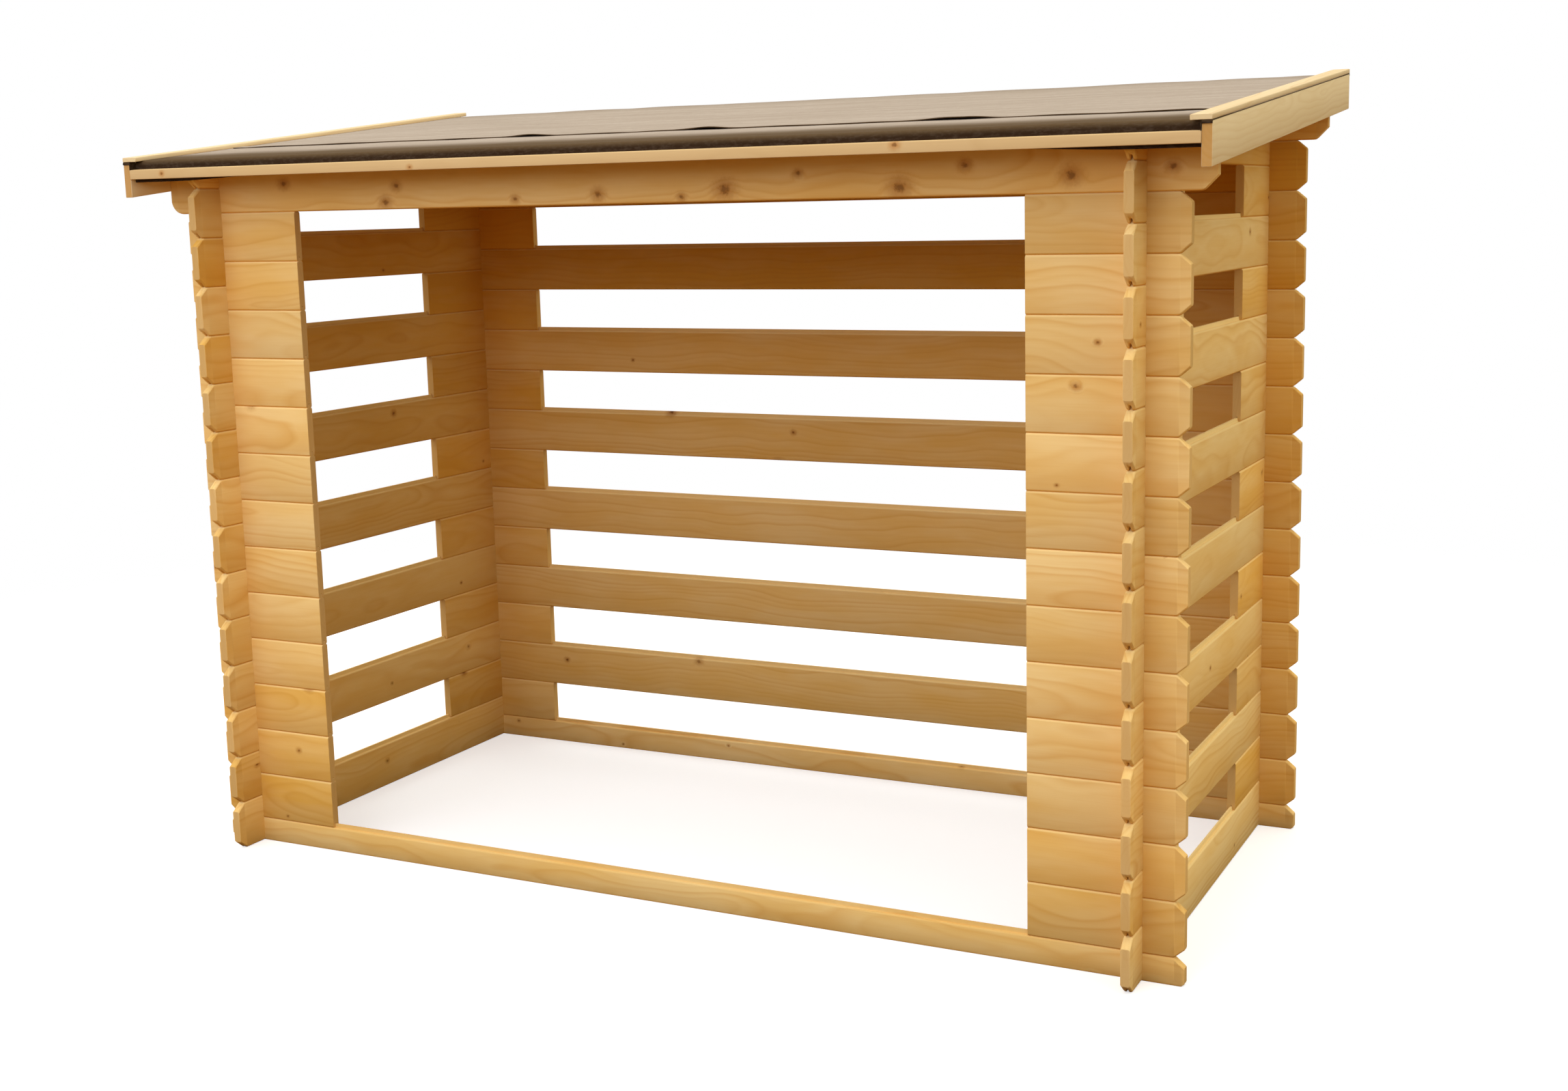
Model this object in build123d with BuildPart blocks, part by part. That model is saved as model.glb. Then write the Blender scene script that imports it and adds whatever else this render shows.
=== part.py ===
"""Open timber log store with a pent roof, built of cross-notched logs.

Frame: millimetres, +X to the right seen from the front, +Y to the back, +Z up.
The origin is on the ground under the middle of the roof.
"""
import os
from math import hypot

from build123d import *

# Driving dimensions of the log walls
course = 105.0  # height of one log
log_thickness = 18.0
front_length = 2236.0  # logs of the front and back walls, end to end
side_length = 1115.0  # logs of the side walls, end to end
log_reach = 78.0  # how far a log runs on past the outer face of the wall that it crosses
return_length = 298.0  # short logs beside the front opening, from log end to jamb
back_stub_length = 264.0  # spacer logs at the ends of the back wall
side_stub_length = 326.0  # spacer logs at the ends of the side walls
gap_pairs = 7  # open courses in the back wall and in each side wall

# Driving dimensions of the log section
tongue_width = 6.0
tongue_height = 8.0
tongue_draft = 1.0  # the tongue narrows by this much on each side
arris = 2.5  # chamfer along the upper edges, which shows as a line at each joint
notch_gap = 0.3  # clearance on each side of a crossing log, and beside a tongue
tongue_gap = 1.0  # clearance above a tongue

# Driving dimensions of the log ends
scallop_run = 20.0  # chamfer of a log end, measured along the log
scallop_rise = 17.0  # the same chamfer, measured up the end
sill_corner = 5.0  # chamfer at the foot of the half logs
bracket_corner = 26.0  # chamfer below the ends of the two logs that carry the roof

# Driving dimensions of the roof
gable_overhang = 140.0  # roof past the outer faces of the side walls
eave_overhang = 115.5  # roof past the outer faces of the front and back walls
header_trim = 2.2  # planed off the middle of the header, besides the course that the roof falls
deck_thickness = 22.0
deck_board = 96.0  # width of one matched board of the deck
deck_groove = 2.5  # V between two boards, seen from below
barge_thickness = 18.0
barge_height = 73.0  # measured plumb
strip_width = 37.0
strip_thickness = 9.0
felt_thickness = 2.0
felt_lap = 60.0
felt_eave_course = 250.0  # visible depth of the lower sheet, from the eave to the lap
felt_lip = 8.0  # felt that hangs over the front end of each barge board
deck_nose = 9.0  # radius of the front edge of the deck, under the fold of the felt
batten_height = 20.0
batten_thickness = 16.0
batten_drop = 15.0  # from the top of the deck to the top of the batten

# Places that follow from the values above
half_course = course / 2
quarter = course / 4
side_wall_x = front_length / 2 - log_reach - log_thickness / 2
end_wall_y = side_length / 2 - log_reach - log_thickness / 2
return_courses = 2 * gap_pairs - 1
header_bottom = half_course + return_courses * course
gable_bottom = 2 * gap_pairs * course
purlin_bottom = header_bottom + course
purlin_outer_y = end_wall_y + log_thickness / 2
pitch_rise = (course + header_trim) / (2 * end_wall_y)  # the roof falls to the front
roof_width = 2 * (side_wall_x + log_thickness / 2 + gable_overhang)
roof_depth = 2 * (purlin_outer_y + eave_overhang)
barge_inner_x = roof_width / 2 - barge_thickness
deck_plane = Plane(
    origin=(0, purlin_outer_y, purlin_bottom + course),
    x_dir=(1, 0, 0),
    z_dir=(0, -pitch_rise, 1),
)

os.makedirs("parts", exist_ok=True)


def deck_height(y):
    """Height of the underside of the deck at a distance y from the origin."""
    return purlin_bottom + course + (y - purlin_outer_y) * pitch_rise


def log_section(height, grooved):
    """Section of a log in the sketch plane: local X is its thickness, local Y its height."""
    tongue = tongue_width / 2
    groove = tongue + notch_gap
    side = log_thickness / 2
    with BuildSketch(Plane.YZ) as section:
        with BuildLine():
            if grooved:
                groove_top = tongue_height + tongue_gap
                foot = [(0, groove_top), (groove - tongue_draft, groove_top), (groove, 0)]
            else:
                foot = [(0, 0)]
            Polyline(
                *foot,
                (side, 0),
                (side, height - arris),
                (side - arris, height),
                (tongue, height),
                (tongue - tongue_draft, height + tongue_height),
                (0, height + tongue_height),
            )
            mirror(about=Plane.YZ)
        make_face()
    return section.sketch


def log(start, end, crossings, scallops=(), height=course, foot_cut=scallop_rise, grooved=True):
    """One log along X from start to end, its foot at height 0 and its middle plane on Y = 0.

    It is notched by a quarter course, top and bottom, wherever a wall of like logs crosses it.
    The ends listed in scallops are chamfered top and bottom. A half log has no notch in its foot.
    """
    above = height + 2 * tongue_height
    slope = scallop_run / scallop_rise
    with BuildPart() as piece:
        extrude(log_section(height, grooved).moved(Location((start, 0, 0))), amount=end - start)
        with BuildSketch(Plane.XZ) as cuts:
            for x in crossings:
                with Locations((x, height - quarter)):
                    Rectangle(log_thickness + 2 * notch_gap, above, align=(Align.CENTER, Align.MIN))
                if grooved:
                    with Locations((x, quarter)):
                        Rectangle(log_thickness + 2 * notch_gap, above, align=(Align.CENTER, Align.MAX))
            for x in scallops:
                inward = 1 if x == start else -1
                with BuildLine():
                    Polyline(
                        (x - inward, height - scallop_rise - 1 / slope),
                        (x - inward, above),
                        (x + inward * slope * (above - height + scallop_rise), above),
                        close=True,
                    )
                make_face()
                with BuildLine():
                    Polyline(
                        (x - inward, foot_cut + 1 / slope),
                        (x - inward, -1),
                        (x + inward * slope * (foot_cut + 1), -1),
                        close=True,
                    )
                make_face()
        extrude(amount=log_thickness, both=True, mode=Mode.SUBTRACT)
    return piece.part


def save(part, name):
    """Labels a finished piece and writes it as one STEP file."""
    part.label = name
    export_step(part, f"parts/{name}.step")


# Logs that the walls are stacked from. Each lies along X with its foot on the ground.
front_end = front_length / 2
side_end = side_length / 2
long_front_log = log(-front_end, front_end, (-side_wall_x, side_wall_x), (-front_end, front_end))
long_side_log = log(-side_end, side_end, (-end_wall_y, end_wall_y), (-side_end, side_end))
sill_half_log = log(
    -front_end,
    front_end,
    (-side_wall_x, side_wall_x),
    (-front_end, front_end),
    height=half_course,
    foot_cut=sill_corner,
    grooved=False,
)
front_return_log = log(-front_end, return_length - front_end, (-side_wall_x,), (-front_end,))
back_stub_log = log(-front_end, back_stub_length - front_end, (-side_wall_x,), (-front_end,))
side_stub_log = log(-side_end, side_stub_length - side_end, (-end_wall_y,), (-side_end,))
roof_log = log(-barge_inner_x, barge_inner_x, (-side_wall_x, side_wall_x))

# Half logs at the foot of the front and back walls
for name, y in (("front_sill_log", -end_wall_y), ("back_sill_log", end_wall_y)):
    with BuildPart() as sill:
        with Locations((0, y, 0)):
            add(sill_half_log)
    save(sill.part, name)

# Short logs beside the front opening, stacked course on course. Neighbours go to two nodes.
for side, turn in (("left", 0), ("right", 180)):
    for group, first in (("lower", 0), ("upper", 1)):
        rows = range(first, return_courses, 2)
        with BuildPart() as returns:
            with Locations(*[(0, -end_wall_y, half_course + row * course) for row in rows]):
                add(front_return_log, rotation=(0, 0, turn))
        save(returns.part, f"front_{side}_logs_{group}")

# Slats of the back wall, with an open course below each
for row in range(gap_pairs):
    with BuildPart() as slat:
        with Locations((0, end_wall_y, half_course + (2 * row + 1) * course)):
            add(long_front_log)
    save(slat.part, f"back_slat_{row + 1}")

# Spacer logs at both ends of the back wall, one in each open course
for side, turn in (("left", 0), ("right", 180)):
    with BuildPart() as spacers:
        with Locations(*[(0, end_wall_y, half_course + 2 * row * course) for row in range(gap_pairs)]):
            add(back_stub_log, rotation=(0, 0, turn))
    save(spacers.part, f"back_{side}_spacers")

# Side walls: a full log in every other course, spacer logs at both ends of the courses between
for side, x in (("left", -side_wall_x), ("right", side_wall_x)):
    for row in range(gap_pairs):
        with BuildPart() as rail:
            with Locations((x, 0, 2 * row * course)):
                add(long_side_log, rotation=(0, 0, 90))
        save(rail.part, f"{side}_slat_{row + 1}")
    for end, turn in (("front", 90), ("back", -90)):
        with BuildPart() as spacers:
            with Locations(*[(x, 0, (2 * row + 1) * course) for row in range(gap_pairs)]):
                add(side_stub_log, rotation=(0, 0, turn))
        save(spacers.part, f"{side}_{end}_spacers")

# Gable logs above the side walls, cut to the slope of the roof
for side, x in (("left", -side_wall_x), ("right", side_wall_x)):
    for name, bottom in (("gable_log", gable_bottom), ("gable_wedge", gable_bottom + course)):
        with BuildPart() as gable:
            with Locations((x, 0, bottom)):
                add(long_side_log, rotation=(0, 0, 90))
            split(bisect_by=deck_plane, keep=Keep.BOTTOM)
        save(gable.part, f"{side}_{name}")

# The two logs that carry the roof: their tops follow its slope, their lower corners are cut off
roof_logs = (("header_log", -end_wall_y, header_bottom), ("back_purlin", end_wall_y, purlin_bottom))
for name, y, bottom in roof_logs:
    with BuildPart() as beam:
        with Locations((0, y, bottom)):
            add(roof_log)
        split(bisect_by=deck_plane, keep=Keep.BOTTOM)
        with BuildSketch(Plane.XZ.offset(-y)) as corners:
            for inward in (1, -1):
                with BuildLine():
                    Polyline(
                        (-inward * barge_inner_x, bottom + bracket_corner),
                        (-inward * barge_inner_x, bottom),
                        (-inward * (barge_inner_x - bracket_corner), bottom),
                        close=True,
                    )
                make_face()
        extrude(amount=log_thickness, both=True, mode=Mode.SUBTRACT)
    save(beam.part, name)


def roof_outline(low, high, front, back, front_nose=0.0, back_nose=0.0):
    """Profile of a roof piece in the YZ plane, between two heights above the deck's underside.

    The upper corners can be rounded by the radius of a nose.
    """
    with BuildSketch(Plane.YZ) as profile:
        with BuildLine():
            Polyline(
                (front, deck_height(front) + low),
                (back, deck_height(back) + low),
                (back, deck_height(back) + high),
                (front, deck_height(front) + high),
                close=True,
            )
        make_face()
        if front_nose:
            front_corner = profile.vertices().group_by(Axis.X)[0].sort_by(Axis.Y)[-1]
            fillet(front_corner, radius=front_nose)
        if back_nose:
            back_corner = profile.vertices().group_by(Axis.X)[-1].sort_by(Axis.Y)[-1]
            fillet(back_corner, radius=back_nose)
    return profile.sketch


# Heights above the deck's underside, measured plumb
plumb = hypot(1, pitch_rise)
deck_top = deck_thickness * plumb
felt_top = deck_top + felt_thickness * plumb
strip_top = felt_top + strip_thickness * plumb
batten_top = deck_top - batten_drop
batten_foot = batten_top - batten_height
front_edge = -roof_depth / 2
back_edge = roof_depth / 2
deck_front = front_edge + batten_thickness + felt_thickness
deck_back = back_edge - batten_thickness - felt_thickness
barge_front = front_edge + felt_thickness
barge_back = back_edge - felt_thickness

# Deck of matched boards that run up the slope, with a V below each joint
board_count = round(2 * barge_inner_x / deck_board)
board_pitch = 2 * barge_inner_x / board_count
with BuildPart() as roof_deck:
    boards = roof_outline(0, deck_top, deck_front, deck_back, deck_nose, deck_nose)
    extrude(boards, amount=barge_inner_x, both=True)
    with BuildSketch(Plane.XZ.offset(-front_edge)) as grooves:
        foot = deck_height(front_edge)
        for joint in range(1, board_count):
            x = -barge_inner_x + joint * board_pitch
            with BuildLine():
                Polyline(
                    (x - deck_groove, foot - deck_groove),
                    (x + deck_groove, foot - deck_groove),
                    (x, foot + deck_groove),
                    close=True,
                )
            make_face()
    slope_direction = Vector(0, 1, pitch_rise)
    extrude(amount=roof_depth * plumb, dir=slope_direction, mode=Mode.SUBTRACT)
save(roof_deck.part, "roof_deck")

# Barge boards that close both ends of the roof
with BuildPart() as barge_boards:
    for start in (-roof_width / 2, barge_inner_x):
        barge = roof_outline(deck_top - barge_height, deck_top, barge_front, barge_back)
        extrude(barge.moved(Location((start, 0, 0))), amount=barge_thickness)
save(barge_boards.part, "barge_boards")

# Battens between the barge boards that hold the felt to the front and back edges of the deck
with BuildPart() as eave_battens:
    for front in (front_edge, back_edge - batten_thickness):
        batten = roof_outline(batten_foot, batten_top, front, front + batten_thickness)
        extrude(batten, amount=barge_inner_x, both=True)
save(eave_battens.part, "eave_battens")


def add_felt(start, width, foot, front, back, turned_down, nose=0.0):
    """Adds felt over what lies between front and back, from x = start on.

    At the side named by turned_down it is folded down over the edge, as far as foot, round a nose.
    """
    over_front = felt_thickness if turned_down == "front" else 0.0
    over_back = felt_thickness if turned_down == "back" else 0.0
    front_nose = nose if turned_down == "front" else 0.0
    back_nose = nose if turned_down == "back" else 0.0
    outer_front = front_nose + over_front if front_nose else 0.0
    outer_back = back_nose + over_back if back_nose else 0.0
    sheet = roof_outline(foot, felt_top, front - over_front, back + over_back, outer_front, outer_back)
    extrude(sheet.moved(Location((start, 0, 0))), amount=width)
    core = roof_outline(foot, deck_top, front, back, front_nose, back_nose)
    extrude(core.moved(Location((start, 0, 0))), amount=width, mode=Mode.SUBTRACT)


# Felt in two sheets. Each is folded down behind a batten, and over the ends of the barge boards.
lap_line = front_edge + felt_eave_course
lap_end = lap_line + felt_lap
deck_width = 2 * barge_inner_x
lip_foot = deck_top - felt_lip
with BuildPart() as felt_lower:
    add_felt(-barge_inner_x, deck_width, batten_foot, deck_front, lap_end, "front", deck_nose)
    for start in (-roof_width / 2, barge_inner_x):
        add_felt(start, barge_thickness, lip_foot, barge_front, lap_end, "front")
save(felt_lower.part, "felt_lower_sheet")

with BuildPart() as felt_upper:
    add_felt(-barge_inner_x, deck_width, batten_foot, lap_end, deck_back, "back", deck_nose)
    for start in (-roof_width / 2, barge_inner_x):
        add_felt(start, barge_thickness, lip_foot, lap_end, barge_back, "back")
    lap = roof_outline(felt_top, 2 * felt_top - deck_top, lap_line, lap_end + felt_thickness)
    extrude(lap, amount=roof_width / 2 - strip_width, both=True)
save(felt_upper.part, "felt_upper_sheet")

# Cover strips on top of the felt, over the barge boards
with BuildPart() as cover_strips:
    for start in (-roof_width / 2, roof_width / 2 - strip_width):
        strip = roof_outline(felt_top, strip_top, front_edge, back_edge)
        extrude(strip.moved(Location((start, 0, 0))), amount=strip_width)
save(cover_strips.part, "cover_strips")
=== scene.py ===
# %% [markdown]
# # A timber log store, finished for its picture
#
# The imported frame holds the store's real pieces at their real size: notched logs, boards, battens and felt.
# This lesson gives them their looks. Every log is carried out again as a softer mesh that knows where its
# own heart lies, the roof gets its boards, its trim and its felt, and a pale studio stands round it all.

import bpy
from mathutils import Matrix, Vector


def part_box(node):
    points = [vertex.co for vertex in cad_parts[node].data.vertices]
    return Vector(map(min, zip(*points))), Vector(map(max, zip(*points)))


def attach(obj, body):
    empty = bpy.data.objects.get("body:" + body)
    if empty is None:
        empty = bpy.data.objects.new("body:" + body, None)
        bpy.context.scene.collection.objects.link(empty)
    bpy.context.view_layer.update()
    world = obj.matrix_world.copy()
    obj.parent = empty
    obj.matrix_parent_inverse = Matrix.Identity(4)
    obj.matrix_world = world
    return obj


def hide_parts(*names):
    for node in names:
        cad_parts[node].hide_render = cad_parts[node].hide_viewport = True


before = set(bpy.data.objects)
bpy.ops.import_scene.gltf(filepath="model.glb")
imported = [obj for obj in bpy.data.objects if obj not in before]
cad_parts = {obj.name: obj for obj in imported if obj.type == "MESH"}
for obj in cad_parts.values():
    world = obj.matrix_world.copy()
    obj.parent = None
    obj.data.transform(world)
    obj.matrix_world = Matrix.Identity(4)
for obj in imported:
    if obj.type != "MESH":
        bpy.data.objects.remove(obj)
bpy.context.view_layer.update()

# %% [markdown]
# ## The camera
#
# A camera can be placed by eye, or worked out from the picture. Here it was worked out: some 90 corners of
# the store were marked in the photograph, and the place, turn and lens that bring the built corners onto
# the marks were solved for. The middle of the lens falls a little beside the middle of the picture, so the
# camera has a small shift.

# %% The camera
from math import hypot, pi, radians

import bpy
import numpy as np

PHOTO_WIDTH, PHOTO_HEIGHT = 2296, 1597
LENS_MIDDLE = (1204.3, 747.3)  # pixels from the left and from the top
CAMERA_PLACE = (1.9444, -3.6474, 1.4031)
CAMERA_TURN = (80.843, 1.204, 25.595)  # degrees about X, Y and Z
LENS = 43.187

lens = bpy.data.cameras.new("view")
lens.lens = LENS
lens.shift_x = (PHOTO_WIDTH / 2 - LENS_MIDDLE[0]) / PHOTO_WIDTH
lens.shift_y = (LENS_MIDDLE[1] - PHOTO_HEIGHT / 2) / PHOTO_WIDTH
camera = bpy.data.objects.new("view", lens)
camera.location = CAMERA_PLACE
camera.rotation_euler = [radians(angle) for angle in CAMERA_TURN]
bpy.context.scene.collection.objects.link(camera)
bpy.context.scene.camera = camera
print("camera shift", round(lens.shift_x, 4), round(lens.shift_y, 4))

# %% [markdown]
# ## Reading the frame
#
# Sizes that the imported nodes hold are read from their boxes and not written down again, so the looks follow
# the construction. The logs are laid course on course with the side walls half a course lower than the
# front and back ones, so two side slats are two courses apart. The roof's plane goes through the tops of
# the two logs that carry it.

# %% Sizes of the walls and the roof
X, Y, Z = range(3)


def low(node, axis):
    """Lowest place of a node along an axis."""
    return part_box(node)[0][axis]


def high(node, axis):
    """Highest place of a node along an axis."""
    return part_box(node)[1][axis]


course = (low("left_slat_2", Z) - low("left_slat_1", Z)) / 2
log_thickness = high("back_slat_1", Y) - low("back_slat_1", Y)
tongue_height = high("back_slat_1", Z) - low("back_slat_1", Z) - course
side_wall_x = (high("right_slat_1", X) + low("right_slat_1", X)) / 2
end_wall_y = (high("back_slat_1", Y) + low("back_slat_1", Y)) / 2
roof_top_back = high("back_purlin", Y), high("back_purlin", Z)
roof_top_front = high("header_log", Y), high("header_log", Z)
roof_slope = (roof_top_back[1] - roof_top_front[1]) / (roof_top_back[0] - roof_top_front[0])
plumb = hypot(1, roof_slope)


def deck_height(y):
    """Height of the underside of the roof's boards: a plane that rises to the back by the roof's slope."""
    return roof_top_back[1] + (y - roof_top_back[0]) * roof_slope


print("course", round(course, 4), "log", round(log_thickness, 4), "slope", round(roof_slope, 4))

# %% [markdown]
# ## Carrying a section along a bar
#
# Logs, boards, battens and strips are all one kind of thing: a section carried along a straight line. Boxes
# with bevels would do for the plain ones, but not for a log, whose top and foot step down at a notch and
# slope off at an end. So the section is stored by level: each of its points belongs to the foot or to the
# top, and has its own distance from that level. At every station along the bar the two levels are given,
# and the whole bar is one sum of arrays.

# %% Sections that know their levels
end_ease = 0.0006  # how far the ends of a bar are drawn in


def eased_corner(size, steps=4):
    """A soft chamfer, as distances in from the side and up from the level.

    Halfway between a straight chamfer and a quarter circle of the same size.
    """
    turn = np.linspace(0, pi / 2, steps + 1)
    straight = np.linspace(0, 1, steps + 1)
    inward = size * (1 - (np.sin(turn) + straight) / 2)
    upward = size * (1 - (np.cos(turn) + 1 - straight) / 2)
    return inward, upward


def plank_section(width, foot_corner, top_corner):
    """Half a plank's section, from the middle of the foot to the middle of the top.

    Rows: distance from the middle, level (0 foot, 1 top), height from that level, share of the groove's
    depth, share of the tongue's height.
    """
    half = width / 2
    foot_in, foot_up = eased_corner(foot_corner)
    top_in, top_up = eased_corner(top_corner)
    across = np.concatenate(([0], half - foot_in, half - top_in[::-1], [0]))
    level = np.concatenate((np.zeros(1 + foot_in.size), np.ones(top_in.size + 1)))
    rise = np.concatenate(([0], foot_up, -top_up[::-1], [0]))
    nothing = np.zeros(across.size)
    return np.array([across, level, rise, nothing, nothing])


def whole_loop(half):
    """The closed section: the half, and its mirror image on the way back."""
    mirrored = half[:, -2:0:-1].copy()
    mirrored[0] *= -1
    return np.concatenate((half, mirrored), axis=1)


# %% A bar from stations
def bar(section, stations, foot, top, groove=0.0, tongue=0.0):
    """Points of a bar, an array of stations by section points by (along, across, up).

    Height of a point = its level at the station + its own rise + its share of the groove or tongue. The first
    and last station are drawn in, so that the bar's ends have no knife edges.
    """
    across, level, rise, in_groove, in_tongue = whole_loop(section)
    count = len(stations)
    drawn_in = np.zeros(count)
    drawn_in[[0, -1]] = end_ease
    foot = np.broadcast_to(foot, count) + drawn_in
    top = np.broadcast_to(top, count) - drawn_in
    up = foot[:, None] * (1 - level) + top[:, None] * level + rise
    up += np.broadcast_to(groove, count)[:, None] * in_groove
    up += np.broadcast_to(tongue, count)[:, None] * in_tongue
    side = across * (1 - drawn_in[:, None] / across.max())
    along = np.broadcast_to(np.asarray(stations)[:, None], up.shape)
    return np.stack((along, side, up), axis=-1)


def with_ends(start, end, *between):
    """Stations of a bar: both ends, where each end's easing stops, and the places between."""
    ends = [start, start + end_ease, end - end_ease, end]
    return np.unique(np.round(np.concatenate((ends, *between)), 6))


def spread(start, end, count):
    """Places spread evenly between two ends, without the ends."""
    return np.linspace(start, end, count + 2)[1:-1]


# %% [markdown]
# ## From arrays to a piece
#
# A piece of the store may be several bars, such as the seven spacer logs of a corner, so their arrays are
# gathered first and go into Blender once. Besides its place, each point keeps its place within its own log,
# called grain, and each log keeps where its heart lies, called heart: the wood's rings are worked out from
# these two, so no two logs look alike and the grain runs round every edge. Sawn ends are marked as cut.

# %% Gathering bars into a piece
chance = np.random.default_rng(23)
tree_length = 40.0  # metres of tree that the logs' grain starts are drawn from
sharp_edge = radians(28)


class Stock:
    """The bars of one piece, gathered as arrays."""

    def __init__(self):
        self.points, self.faces, self.grain, self.heart, self.cut = [], [], [], [], []
        self.count = 0

    def add(self, points, place, heart=None, shift=None):
        """Adds a bar: place turns its (along, across, up) into places in the store.

        Its grain starts at a random shift along the tree, unless one is given.
        """
        stations, loop = points.shape[:2]
        flat = points.reshape(-1, 3)
        number = np.arange(stations * loop).reshape(stations, loop)
        beside = np.roll(number, -1, axis=1)
        sides = np.stack((number[:-1], beside[:-1], beside[1:], number[1:]), axis=-1).reshape(-1, 4)
        corner = flat[sides]
        normal = np.cross(corner[:, 2] - corner[:, 0], corner[:, 3] - corner[:, 1])
        endwise = np.abs(normal[:, 0]) > 0.9 * np.linalg.norm(normal, axis=1)
        self.faces += (sides + self.count).tolist()
        self.faces += [(number[0, ::-1] + self.count).tolist(), (number[-1] + self.count).tolist()]
        self.cut.append(np.concatenate((endwise.astype(float), [1.0, 1.0])))
        if heart is None:
            heart = self.random_heart()
        if shift is None:
            shift = chance.uniform(0, tree_length)
        self.points.append(place(flat))
        self.grain.append(flat + [shift, 0, -flat[:, 2].min()])
        self.heart.append(np.broadcast_to(heart, flat.shape))
        self.count += len(flat)

    def random_heart(self):
        """Where the heart of the tree lay, across and up from the log's foot, and the log's own tone."""
        side = chance.choice([-1, 1])
        across = side * chance.uniform(0.012, 0.05)
        return np.array([across, chance.uniform(-0.01, 0.11), chance.uniform(0, 1)])

    def piece(self, name, material, slot, *nodes):
        """Makes the object, hands it to the frame and says which nodes it stands for."""
        mesh = bpy.data.meshes.new(name)
        mesh.from_pydata(np.concatenate(self.points), [], self.faces)
        for label, values in (("grain", self.grain), ("heart", self.heart)):
            vectors = mesh.attributes.new(label, "FLOAT_VECTOR", "POINT")
            vectors.data.foreach_set("vector", np.concatenate(values).ravel())
        ends = mesh.attributes.new("cut", "FLOAT", "FACE")
        ends.data.foreach_set("value", np.concatenate(self.cut))
        return finish_piece(name, mesh, material, slot, *nodes)


def finish_piece(name, mesh, material, slot, *nodes):
    """Smooth shading between sharp edges, the material, and the piece under the frame's root. Slot is not
    used.
    """
    mesh.materials.append(material)
    mesh.shade_smooth()
    mesh.set_sharp_from_angle(angle=sharp_edge)
    mesh.update()
    piece = bpy.data.objects.new(name, mesh)
    bpy.context.scene.collection.objects.link(piece)
    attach(piece, "root")
    if nodes:
        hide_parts(*nodes)
    return piece


# %% [markdown]
# ## Writing materials as sums
#
# A node tree gets long quickly when every node is added by hand. A small class wraps a socket, so that an
# expression such as 1 - mask adds its own Math node, and one method adds any other kind.

# %% Sockets that can be reckoned with
class Value:
    """An output of a shader node. Arithmetic on it adds Math nodes."""

    def __init__(self, finish, socket):
        self.finish, self.socket = finish, socket

    def math(self, operation, *others):
        return self.finish.add("ShaderNodeMath", {"operation": operation}, [self, *others])

    def output(self, name):
        """Another output of the same node."""
        outputs = [s for s in self.socket.node.outputs if s.name == name and s.enabled]
        return Value(self.finish, outputs[0])

    def __add__(self, other):
        return self.math("ADD", other)

    __radd__ = __add__

    def __mul__(self, other):
        return self.math("MULTIPLY", other)

    __rmul__ = __mul__

    def __sub__(self, other):
        return self.math("SUBTRACT", other)

    def __rsub__(self, other):
        return self.finish.add("ShaderNodeMath", {"operation": "SUBTRACT"}, [other, self])

    def __truediv__(self, other):
        return self.math("DIVIDE", other)


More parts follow.
